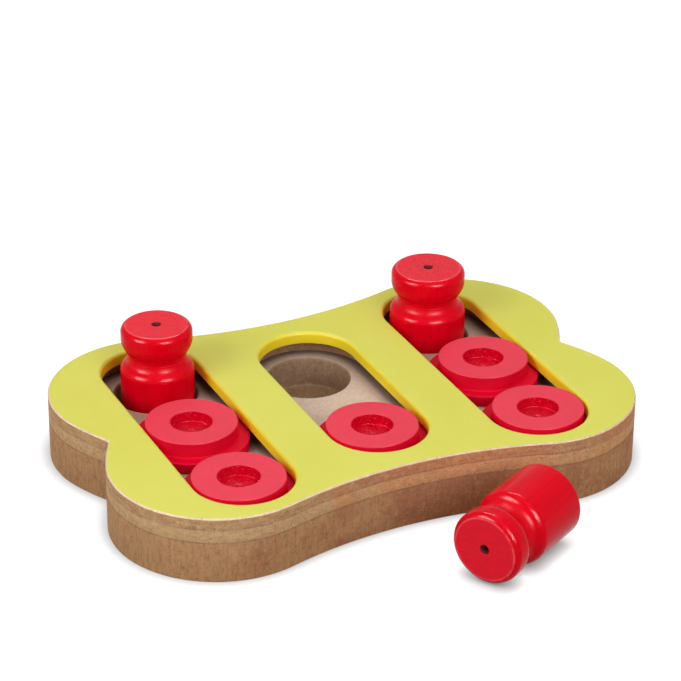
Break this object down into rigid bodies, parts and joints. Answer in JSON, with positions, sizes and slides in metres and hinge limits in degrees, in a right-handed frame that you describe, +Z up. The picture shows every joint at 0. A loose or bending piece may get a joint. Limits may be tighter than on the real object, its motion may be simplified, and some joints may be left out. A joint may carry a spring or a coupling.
{
  "type": "dog puzzle feeder toy",
  "caption": "Bone-shaped wooden treat puzzle: a thick board with lanes of captive sliding discs and standing pegs that cover round treat wells.",
  "frame": {"origin": "centre of the underside of the base board, on the surface it stands on", "axes": "+X along the board's long axis, +Y across it from the front, where the loose peg lies, to the far side, +Z up"},
  "size_m": [0.306, 0.2778, 0.0675],
  "materials": {
    "yellow_paint": "satin yellow-green paint with a bare cream line round the outer edge",
    "bare_board": "bare tan fibreboard, cut edge",
    "base_board": "bare brown fibreboard, cut edge and smooth pinkish face",
    "red_disc": "red stained and varnished",
    "red_lacquer": "glossy red lacquer over turned wood"
  },
  "bodies": {
    "board": {"base_board": "base_board", "spacer_board": "bare_board", "top_board": "yellow_paint"},
    "left_front_disc": {"left_front_disc": "red_disc"},
    "left_middle_disc": {"left_middle_disc": "red_disc"},
    "centre_disc": {"centre_disc": "red_disc"},
    "right_front_disc": {"right_front_disc": "red_disc"},
    "right_middle_disc": {"right_middle_disc": "red_disc"},
    "left_peg": {"left_peg": "red_lacquer"},
    "right_peg": {"right_peg": "red_lacquer"},
    "loose_peg": {"loose_peg": "red_lacquer"}
  },
  "joints": [
    {"name": "left_front_slide", "type": "slide", "parent": "board", "child": "left_front_disc", "axis": [0, 1, 0], "range_m": [-0.0008, 0.0045]},
    {"name": "left_middle_slide", "type": "slide", "parent": "left_front_disc", "child": "left_middle_disc", "axis": [0, 1, 0], "range_m": [-0.0004, 0.0045]},
    {"name": "centre_slide", "type": "slide", "parent": "board", "child": "centre_disc", "axis": [0, 1, 0], "range_m": [-0.0013, 0.0873]},
    {"name": "right_front_slide", "type": "slide", "parent": "board", "child": "right_front_disc", "axis": [0, 1, 0], "range_m": [-0.0008, 0.0045]},
    {"name": "right_middle_slide", "type": "slide", "parent": "right_front_disc", "child": "right_middle_disc", "axis": [0, 1, 0], "range_m": [-0.0004, 0.0045]},
    {"name": "left_peg_lift", "type": "slide", "parent": "board", "child": "left_peg", "axis": [0, 0, 1], "range_m": [0, 0.04]},
    {"name": "right_peg_lift", "type": "slide", "parent": "board", "child": "right_peg", "axis": [0, 0, 1], "range_m": [0, 0.04]},
    {"name": "loose_peg_lift", "type": "slide", "parent": "board", "child": "loose_peg", "axis": [0, 0, 1], "range_m": [0, 0.08]}
  ]
}
